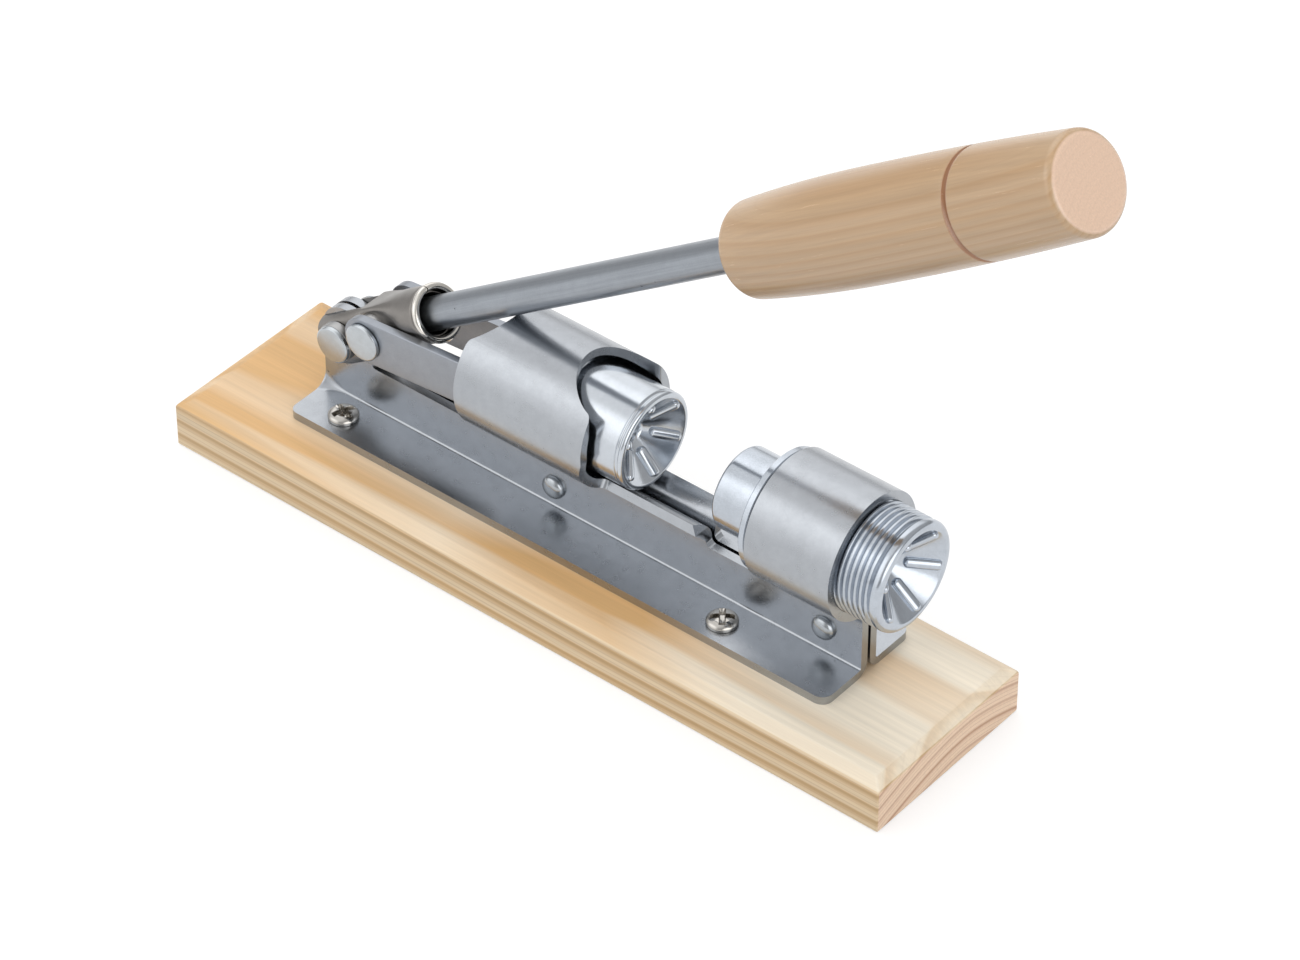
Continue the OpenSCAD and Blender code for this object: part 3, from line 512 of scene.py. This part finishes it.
def turned_handle():
    """The turned handle: swelling towards the middle, with a cut groove and rounded ends."""
    inner_r, outer_r, rings = 3.0, 2.5, 48
    cut_reach = 1.6
    cut = [(-1.25, 0.0), (-0.85, -0.12), (-0.5, -0.75), (0.0, -1.2), (0.5, -0.75), (0.85, -0.12),
           (1.25, 0.0)]
    # A hair shorter than the CAD's handle, so that it stays inside it
    length = HANDLE_LENGTH - 0.01
    end = HANDLE_START + length
    groove_x = end - GROOVE_INSET
    groove_r = handle_radius(1 - GROOVE_INSET / length)
    first, last = inner_r / length, 1 - outer_r / length
    shares = [first + (last - first) * k / rings for k in range(1, rings)]
    belly = [(HANDLE_START + length * share, handle_radius(share)) for share in shares]
    profile = [(HANDLE_START, 0.0)]
    profile += rear_corner(HANDLE_START, handle_radius(first), inner_r)
    profile += [(x, r) for x, r in belly if x < groove_x - cut_reach]
    profile += [(groove_x + dx, groove_r + dr) for dx, dr in cut]
    profile += [(x, r) for x, r in belly if x > groove_x + cut_reach]
    profile += front_corner(end, handle_radius(last), outer_r)
    profile.append((end, 0.0))
    shape = spun(profile, 128)
    put(shape, TO_LEVER)
    finish_piece(shape, "turned_handle", handle_pine, "lever", ["handle"])


def round_bar():
    """The lever's bar, from inside the yoke to inside the handle."""
    start, radius = 34, 5.55
    shape = spun([(start, 0), (start, radius), (GROOVE_X, radius), (GROOVE_X, 0)], 64)
    round_edges(shape, 0.4)
    put(shape, TO_LEVER)
    finish_piece(shape, "round_bar", bar_plate, "lever", ["lever_bar"])


# Rivets and screws

def pivot_rivet(name, node, pivot, seat, body):
    """A rivet across the lever. Its two low, round-edged heads start at seat from the middle."""
    head, edge, shank, thick = 6.5, 0.8, 4.0, 1.6
    side = [(seat, shank), (seat, head - 0.1), (seat + 0.1, head)]
    for a in quarter_turn(5)[1:]:
        side.append((seat + thick - edge + (edge - 0.12) * math.sin(a),
                     head - edge + edge * math.cos(a)))
    side += [(seat + thick - 0.06, head * 0.7), (seat + thick - 0.02, head * 0.4),
             (seat + thick, 0)]
    shape = spun(both_sides(side), 72)
    put(shape, Matrix.Translation(pivot) @ ACROSS)
    finish_piece(shape, name, rivet_plate, body, [node])


def web_rivet(node):
    """A rivet through both webs: a shank and a low dome on a short rim on each side."""
    low, high = box_in_mm(node)
    radius, rise = (high.x - low.x) / 2, (high.y - low.y) / 2 - WEB_FACE
    # The rim's share of the height, the shank's and the seat's of the radius, and the roundness
    rim, shank, seat, fullness = 0.18, 0.5, 0.96, 0.8
    side = [(WEB_FACE - 0.3, radius * shank), (WEB_FACE, radius * seat),
            (WEB_FACE + rim * rise, radius)]
    for a in quarter_turn(9)[1:-1]:
        side.append((WEB_FACE + rise * (rim + (1 - rim) * math.sin(a)),
                     radius * math.cos(a) ** fullness))
    side.append((WEB_FACE + rise, 0.0))
    shape = spun(both_sides(side), 64)
    put(shape, Matrix.Translation((low + high) / 2 * MM) @ ACROSS)
    finish_piece(shape, node + "_piece", web_rivet_plate, BASE, [node])


def cross_screw(node, twist):
    """A screw with a tall round head and a cross recess that narrows downwards."""
    low, high = box_in_mm(node)
    radius, rise, tip = (high.x - low.x) / 2, high.z - FOOT_TOP, low.z - FOOT_TOP
    point_l, point_r, shank_r, edge_r, edge_h = 2.5, 1.6, 1.9, 0.25, 0.18
    # Shares of the head's height: the top of its straight side, and where the flat crown starts
    side_top, crown = 0.30, 0.92
    # The share of its radius that the head loses from there to there, over this bend
    loss, bend = 0.42, math.radians(60)
    steps, rings = 8, 40
    profile = [(tip, 0.0), (tip + point_l, point_r), (0.0, shank_r), (0.0, radius - edge_r),
               (edge_h, radius), (side_top * rise, radius)]
    for k in range(1, steps + 1):
        a = bend * k / steps
        profile.append((rise * (side_top + (crown - side_top) * math.sin(a) / math.sin(bend)),
                        radius * (1 - loss * (1 - math.cos(a)) / (1 - math.cos(bend)))))
    crown_r = profile[-1][1]
    for k in range(1, rings + 1):
        share = 1 - k / rings
        profile.append((rise * (crown + (1 - crown) * (1 - share * share)), crown_r * share))
    shape = spun(profile, 144)

    # The cross: the reach and the half width of its arms, its depth and how much of that the
    # arms' ends lose, and how wide its walls lean
    arm, half_width, depth, shallower, slope = 0.66 * radius, 0.17 * radius, 3.2, 0.35, 0.30
    for v in shape.verts:
        height, r = v.co.x / MM, math.hypot(v.co.y, v.co.z) / MM
        if height < rise / 2 or r > arm + slope:
            continue
        around = math.atan2(v.co.z, v.co.y) + math.radians(twist)
        u, w = abs(r * math.cos(around)), abs(r * math.sin(around))
        inside = min(arm - max(u, w), half_width - min(u, w))
        v.co.x -= clamped(0.5 + inside / slope) * depth * (1 - shallower * r / arm) * MM
    spot = Vector(((low.x + high.x) / 2, (low.y + high.y) / 2, FOOT_TOP)) * MM
    put(shape, Matrix.Translation(spot) @ Matrix.Rotation(math.radians(-90), 4, "Y"))
    finish_piece(shape, node + "_piece", screw_nickel, BASE, [node],
                 weighted=False)


# The pressed frame and the yoke

def pressed_frame():
    """The frame with thin creases along its feet that open into wide folds at the rear."""
    # The CAD's fold, how many times as wide it gets along the feet and at the rear end, and how
    # far from its box and from its arc a point of it may lie
    fold, narrow, wide, slack, off_arc = 1.8, 0.5, 3.1, 0.02, 0.05
    start_x, end_x = -98.6, -108.6
    shape = cleaned_copy("press_frame")
    for x in (-108.0, -107.2, -106.2, -105.0, -103.6, -102.0, -100.3, start_x):
        cut_across(shape, x)
    for v in shape.verts:
        out = v.co.y / MM - MIDDLE_Y
        u, w = abs(out) - WEB_FACE, v.co.z / MM - FOOT_TOP
        if (-slack < u < fold + slack and -slack < w < fold + slack
                and abs(math.hypot(u - fold, w - fold) - fold) < off_arc):
            share = clamped((start_x - v.co.x / MM) / (start_x - end_x))
            growth = narrow + (wide - narrow) * share * share
            v.co.y = (MIDDLE_Y + math.copysign(WEB_FACE + u * growth, out)) * MM
            v.co.z = (FOOT_TOP + w * growth) * MM
    round_edges(shape, 0.55, 3)
    split_large_faces(shape)
    finish_piece(shape, "press_frame_piece", frame_plate, BASE, ["press_frame"])


def box_reach(y, z, half_width, half_height, fold):
    """How far a ray in the direction (y, z) runs in a box with rounded corners."""
    y, z = abs(y), abs(z)
    reach = min(half_width / max(y, 1e-9), half_height / max(z, 1e-9))
    corner_y, corner_z = half_width - fold, half_height - fold
    if reach * y > corner_y and reach * z > corner_z:
        toward = y * corner_y + z * corner_z
        beyond = toward ** 2 - corner_y ** 2 - corner_z ** 2 + fold ** 2
        reach = toward + math.sqrt(max(0.0, beyond))
    return reach


def yoke_neck(join, mouth):
    """The yoke's hollow neck, square at its join and round at its mouth."""
    wall, end_r = 2.5, 9.3
    top, bottom, half_width = 8.3, -10.0, 6.35
    sharp_fold, full_fold, fold_reach = 0.6, 3.5, 20.0
    rounding_x, rounding_reach = 18.0, 18.0
    # Each station: its distance from the pivot, and how far it lies inside the outer skin
    outside = [(join + (mouth - 0.5 - join) * k / 24, 0.0) for k in range(25)]
    lip = [(mouth - 0.15, 0.15), (mouth, 0.5), (mouth, wall)]
    inside = [(mouth - 2 - (mouth - 2 - join) * k / 12, wall) for k in range(13)]
    stations = outside + lip + inside

    neck = bmesh.new()
    ring = bmesh.ops.create_circle(neck, segments=120, radius=1.0, cap_ends=False)["verts"]
    first = last = neck.edges[:]
    directions = {v: v.co.xy.normalized() for v in ring}
    for v in ring:
        v.co = (stations[0][0], *directions[v])
    placed = {v: stations[0] for v in ring}
    for station in stations[1:]:
        grown = bmesh.ops.extrude_edge_only(neck, edges=last)["geom"]
        verts = [g for g in grown if isinstance(g, bmesh.types.BMVert)]
        last = [g for g in grown if isinstance(g, bmesh.types.BMEdge)
                and all(v not in placed for v in g.verts)]
        for v in verts:
            directions[v] = v.co.yz.normalized()
            v.co.x = station[0]
        placed.update({v: station for v in verts})
    bmesh.ops.bridge_loops(neck, edges=first + last)

    for v, (x, inset) in placed.items():
        y, z = directions[v]
        fold = sharp_fold + (full_fold - sharp_fold) * eased((x - join) / fold_reach)
        square = box_reach(y, z, half_width - inset, (top - bottom) / 2 - inset,
                           max(0.1, fold - inset))
        share = eased((x - rounding_x) / rounding_reach)
        reach = square * (1 - share) + (end_r - inset) * share
        middle = (top + bottom) / 2 * (1 - share)
        v.co = Vector((x, y * reach, middle + z * reach)) * MM
    bmesh.ops.recalc_face_normals(neck, faces=neck.faces)
    return neck


def smooth_yoke():
    """The yoke: two flat cheeks that run into one hollow neck."""
    join, mouth, overlap = 15.5, 42.0, 0.02
    shape = cleaned_copy("lever_yoke")
    put(shape, TO_LEVER.inverted())
    cut_across(shape, join + overlap, keep_rear=True)
    round_edges(shape, 0.3, degrees=45)
    join_shapes(shape, yoke_neck(join, mouth))
    put(shape, TO_LEVER)
    split_large_faces(shape)
    finish_piece(shape, "lever_yoke_piece", yoke_plate, "lever", ["lever_yoke"],
                 weighted=False)


# The ram and the anvil screw

def cup_profile(face_x, inwards, mouth_r, depth):
    """The line of a cup from its mouth to the middle of its hole. inwards is +1 or -1 along X."""
    slope = depth / (mouth_r - CUP_HOLE_R)
    # Depths below the face and the hole's brink, with how far each is from the mouth's or the
    # hole's radius
    lip = [(0.0, 0.25), (0.08, 0.05), (0.35, -0.25)]
    brink = [(0.1, 0.0), (0.6, -0.15), (CUP_HOLE_DEPTH, -0.35)]
    line = [(x, mouth_r + dr) for x, dr in lip]
    line += [(slope * (mouth_r - r), r)
             for r in (mouth_r - 1.5, (mouth_r + CUP_HOLE_R) / 2, CUP_HOLE_R + 0.6)]
    line += [(depth + x, CUP_HOLE_R + dr) for x, dr in brink]
    line.append((depth + CUP_HOLE_DEPTH + 0.3, 0.0))
    return [(face_x + inwards * x, r) for x, r in line]


def cup_ribs(face_x, inwards, mouth_r, depth, first_rib):
    """Six long rounded ribs that lie in a cup, from near its hole to near its mouth."""
    radius, height, sunk, count = 1.7, 0.7, 0.4, 6
    start_r, end_r = 6.9, mouth_r - 1.9
    slope = depth / (mouth_r - CUP_HOLE_R)
    length = math.hypot(end_r - start_r, slope * (end_r - start_r))
    middle_r = (start_r + end_r) / 2
    middle_x = face_x + inwards * (slope * (mouth_r - middle_r)) - inwards * sunk
    lean = Matrix.Translation((middle_x, 0, middle_r)) @ Matrix.Rotation(
        -inwards * math.atan(slope), 4, "Y")
    turn = 180 + first_rib if inwards < 0 else -first_rib
    ribs = bmesh.new()
    for k in range(count):
        made = bmesh.ops.create_uvsphere(ribs, u_segments=20, v_segments=12,
                                         radius=radius)["verts"]
        for v in made:
            v.co.x *= height
            if abs(v.co.z) > 1e-4:
                v.co.z += math.copysign(length / 2, v.co.z)
        around = Matrix.Rotation(math.radians(turn + k * 360 / count), 4, "X")
        bmesh.ops.transform(ribs, matrix=Matrix.Scale(MM, 4) @ around @ lean, verts=made)
    return ribs


def ram_piece():
    """The ram: its tail from the frame model, its head turned with a rim, a groove and a cup."""
    pin_low, pin_high = box_in_mm("ram_pin")
    pin_to_land, land_w, step_w, edge = 11.4, 10.0, 2.0, 0.2
    face_x, land_x = box_in_mm("ram")[1].x, (pin_low.x + pin_high.x) / 2 + pin_to_land
    land_r, body_r, groove, rim, curl = 18.45, 16.5, 0.75, 2.1, 1.2
    cup = (face_x, -1, 14.6, 8.5)
    cut_x, groove_x = land_x + land_w / 2, face_x - rim
    shape = cleaned_copy("ram")
    cut_across(shape, cut_x, keep_rear=True)
    round_edges(shape, edge)
    step_x, body_x = land_x + land_w, land_x + land_w + step_w
    profile = [(cut_x, 0.0), (cut_x, land_r), (step_x - edge, land_r), (step_x, land_r - edge),
               (body_x - 0.25, body_r + edge), (body_x, body_r), (groove_x - groove - 0.1, body_r)]
    profile += [(groove_x - groove * math.cos(a), body_r - groove * math.sin(a))
                for a in (math.radians(20 * k) for k in range(1, 9))]
    profile.append((groove_x + groove + 0.05, body_r))
    profile += front_corner(face_x, body_r, curl) + cup_profile(*cup)
    head = spun(profile, 128)
    join_shapes(head, cup_ribs(*cup, RAM_RIBS))
    put(head, Matrix.Translation(TUBE_AXIS))
    join_shapes(shape, head)
    split_large_faces(shape)
    finish_piece(shape, "ram_piece", ram_plate, "ram", ["ram"])


def thread_ridge(begin, pitch, turns, root, crest):
    """One ridge wound about X, with a flat crest, sinking away at both ends."""
    steps_a_turn, fade_reach, foot = 72, 1.2, root - 0.3
    half, steps = pitch / 2, int(turns * steps_a_turn)
    rising = [(-half * 0.99, foot), (-half * 0.90, root), (-half * 0.38, crest - 0.08),
              (-half * 0.26, crest)]
    section = rising + [(-x, r) for x, r in reversed(rising)]
    shape = bmesh.new()
    ridge = [shape.verts.new(((begin + dx) * MM, 0, r * MM)) for dx, r in section]
    cap = shape.faces.new(ridge)
    reach = pitch * turns
    bmesh.ops.spin(shape, geom=[cap, *cap.edges, *ridge], cent=(0, 0, 0), axis=(1, 0, 0),
                   dvec=(reach / steps * MM, 0, 0), angle=math.tau * turns, steps=steps,
                   use_merge=False)
    for v in shape.verts:
        out = math.hypot(v.co.y, v.co.z)
        along = (v.co.x / MM - begin + half) / (reach + pitch)
        fade = clamped(min(along, 1 - along) * reach / fade_reach)
        target = foot + (out / MM - foot) * fade
        v.co.y *= target * MM / out
        v.co.z *= target * MM / out
    bmesh.ops.recalc_face_normals(shape, faces=shape.faces)
    return shape


def anvil():
    """The anvil screw: a boss with a cup, a collar, a wound thread and a rim round the end cup."""
    boss_x, collar_x, end_x = 57.8, 75.8, 124.2
    boss_r, collar_r, root, crest, curl, edge = 13.9, 20.5, 17.3, 18.4, 1.8, 1.3
    collar_w, collar_edge, neck_w, pitch, turns = 2.3, 0.3, 2.0, 2.0, 21.4
    boss_cup, end_cup = (boss_x, 1, 12.0, 7.0), (end_x, -1, 15.6, 10.5)
    rim_x = end_x - curl
    line = cup_profile(*boss_cup)[::-1] + rear_corner(boss_x, boss_r, edge)
    line += [(collar_x - collar_w, boss_r), (collar_x - collar_w, collar_r - collar_edge),
             (collar_x - collar_w + collar_edge, collar_r), (collar_x - collar_edge, collar_r),
             (collar_x, collar_r - collar_edge), (collar_x, root), (rim_x - neck_w, root),
             (rim_x - 1.0, crest - 0.12), (rim_x - 0.8, crest)]
    line += front_corner(end_x, crest, curl, 8) + cup_profile(*end_cup)
    shape = spun(line, 144)
    join_shapes(shape, thread_ridge(collar_x + 1.5, pitch, turns, root, crest),
                cup_ribs(*end_cup, END_RIBS), cup_ribs(*boss_cup, BOSS_RIBS))
    put(shape, Matrix.Translation(TUBE_AXIS))
    finish_piece(shape, "anvil_with_thread", anvil_plate, "anvil", ["anvil_screw"])


pine_board()
turned_handle()
round_bar()
pivot_rivet("pivot_rivet", "lever_pivot_rivet", LEVER_PIVOT, 9.55, BASE)
pivot_rivet("crank_rivet", "link_pivot_rivet", CRANK_PIVOT, 12.75, "lever")
anvil()
pressed_frame()
for corner, twist in (("near_rear", 20), ("near_front", 52), ("far_rear", 75), ("far_front", 8)):
    cross_screw(corner + "_screw", twist)
web_rivet("rear_web_rivet")
web_rivet("front_web_rivet")
for washer in ("near_pivot_washer", "far_pivot_washer"):
    softened(washer, washer_plate, BASE, 0.2)
smooth_yoke()
softened("socket_sleeve", sleeve_plate, "lever", 0)
for washer in ("near_crank_washer", "far_crank_washer"):
    softened(washer, washer_plate, "lever", 0.2)
for link in ("near_link", "far_link"):
    softened(link, link_plate, "links", 0.35)
ram_piece()
softened("ram_pin", pin_steel, "ram", 0.3)


# Studio

FLOOR_HALF_WIDTH = 50.0
FLOOR_DROP = 0.0002
FLOOR_GREY = 0.46
FLOOR_GLOW = 0.62

# The sky's brightness from the horizon to straight up
SKY = [(0.0, 0.38), (0.10, 0.46), (0.35, 0.56), (1.0, 0.60)]
# Each panel: its direction, its brightness, and the cosines at its outer and its full edge
PANELS = [((-0.486, -0.80, 0.34), 0.82, 0.78, 0.93),
          ((-0.486, 0.62, 0.62), 0.76, 0.76, 0.93),
          ((-0.486, -0.22, 0.85), 0.50, 0.60, 0.90),
          ((0.90, -0.30, 0.30), 1.7, 0.84, 0.95)]

# The photograph's viewpoint, worked out from the board's edges
CAMERA_SPOT = (0.8180888, -0.9618906, 1.1029141)
CAMERA_TURN = math.radians(39.4605)
CAMERA_RISE = math.radians(40.1423)
FOCAL_PIXELS = 5340.2527
PHOTO_WIDTH = 1300


def studio_floor():
    """A wide white floor that keeps the part's shadow."""
    shape = bmesh.new()
    bmesh.ops.create_grid(shape, x_segments=1, y_segments=1, size=FLOOR_HALF_WIDTH)
    mesh = bpy.data.meshes.new("floor_mesh")
    shape.to_mesh(mesh)
    shape.free()
    material, tree, shader = new_material("floor_white")
    shader.inputs["Base Color"].default_value = (FLOOR_GREY, FLOOR_GREY, FLOOR_GREY, 1)
    shader.inputs["Roughness"].default_value = 0.9
    shader.inputs["Specular IOR Level"].default_value = 0.0
    seen = add(tree, "ShaderNodeLightPath")
    direct = arithmetic(tree, "MAXIMUM", seen.outputs["Is Camera Ray"],
                        seen.outputs["Is Glossy Ray"])
    direct = arithmetic(tree, "MAXIMUM", direct, seen.outputs["Is Transmission Ray"])
    shader.inputs["Emission Color"].default_value = (1, 1, 1, 1)
    wire(tree, shader, "Emission Strength", arithmetic(tree, "MULTIPLY", direct, FLOOR_GLOW))
    mesh.materials.append(material)
    floor = bpy.data.objects.new("floor", mesh)
    floor.location = (0, 0, -FLOOR_DROP)
    bpy.context.scene.collection.objects.link(floor)


def studio_lights():
    """A pale sky that darkens towards the horizon, with broad soft panels."""
    world = bpy.data.worlds.new("studio")
    bpy.context.scene.world = world
    world.use_nodes = True
    tree = world.node_tree
    background = tree.nodes["Background"]
    place = tree.nodes.new("ShaderNodeTexCoord")
    parts = add(tree, "ShaderNodeSeparateXYZ", Vector=place.outputs["Generated"])
    light = ramp(tree, parts.outputs["Z"], SKY)
    for direction, brightness, outer, full in PANELS:
        near = add(tree, "ShaderNodeVectorMath", {"operation": "DOT_PRODUCT"})
        wire(tree, near, 0, place.outputs["Generated"])
        wire(tree, near, 1, Vector(direction).normalized())
        glow = spread(tree, near.outputs["Value"], 0.0, brightness, outer, full)
        light = arithmetic(tree, "ADD", light, glow)
    background.inputs["Color"].default_value = (1, 1, 1, 1)
    wire(tree, background, "Strength", light)


def studio_camera():
    """The photograph's camera: round from the front, and looking down on the board."""
    back = Vector((math.sin(CAMERA_TURN) * math.cos(CAMERA_RISE),
                   -math.cos(CAMERA_TURN) * math.cos(CAMERA_RISE), math.sin(CAMERA_RISE)))
    camera = bpy.data.cameras.new("camera")
    camera.sensor_width = 36.0
    camera.lens = FOCAL_PIXELS * camera.sensor_width / PHOTO_WIDTH
    camera.clip_start = 0.05
    holder = bpy.data.objects.new("camera", camera)
    holder.location = CAMERA_SPOT
    holder.rotation_euler = (-back).to_track_quat("-Z", "Y").to_euler()
    bpy.context.scene.collection.objects.link(holder)
    bpy.context.scene.camera = holder


studio_floor()
studio_lights()
studio_camera()
bpy.context.scene.view_settings.view_transform = "Standard"
